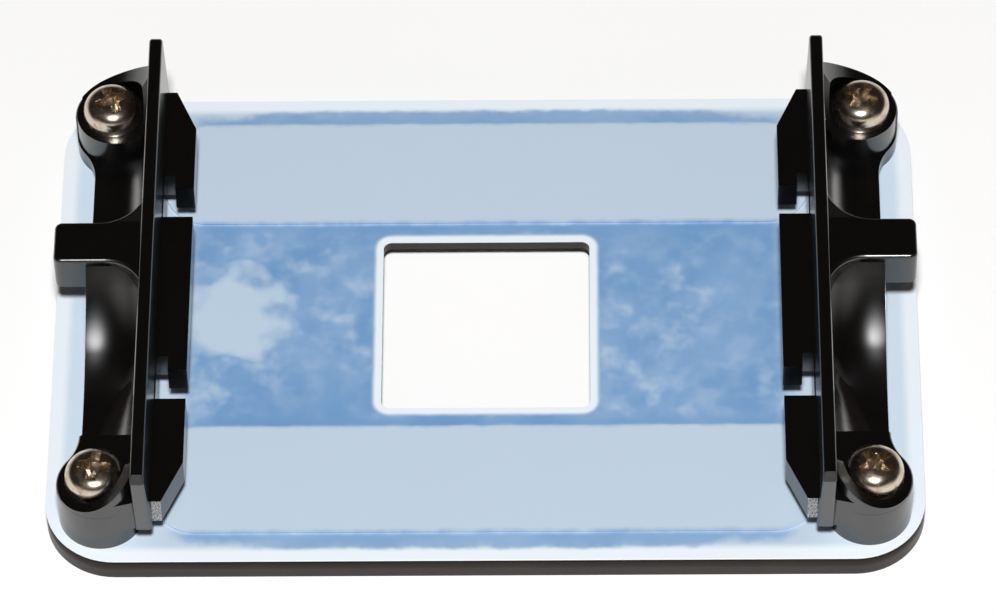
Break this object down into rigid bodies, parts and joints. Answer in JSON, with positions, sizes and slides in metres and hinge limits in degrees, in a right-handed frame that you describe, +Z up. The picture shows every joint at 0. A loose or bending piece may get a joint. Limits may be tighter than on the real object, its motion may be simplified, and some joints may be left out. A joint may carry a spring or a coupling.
{
  "type": "cpu retention bracket",
  "caption": "Processor cooler retention bracket: stamped steel backplate with release film, and moulded side rails with clip lugs, screwed to standoffs at the corners.",
  "frame": {"origin": "centre of the backplate's footprint, at the bottom of its rim", "axes": "+X along the plate's long side towards the right rail, +Y towards the rear, +Z up from the plate to the tops of the rails"},
  "size_m": [0.1024, 0.068, 0.0175],
  "materials": {
    "black_steel": "satin black coat on stamped steel",
    "plated_steel": "plain plated",
    "adhesive_foam": "matte foam with adhesive on both sides",
    "blue_film": "semi-gloss pale blue film, lighter over the pads",
    "black_plastic": "glossy black moulding",
    "nickel": "bright nickel plate"
  },
  "bodies": {
    "root": {"backplate": "black_steel", "standoff_front_left": "plated_steel", "standoff_front_right": "plated_steel", "standoff_rear_left": "plated_steel", "standoff_rear_right": "plated_steel", "adhesive_pad_front": "adhesive_foam", "adhesive_pad_rear": "adhesive_foam", "release_film": "blue_film", "rail_left": "black_plastic", "rail_right": "black_plastic", "screw_front_left": "nickel", "screw_front_right": "nickel", "screw_rear_left": "nickel", "screw_rear_right": "nickel"}
  },
  "joints": []
}
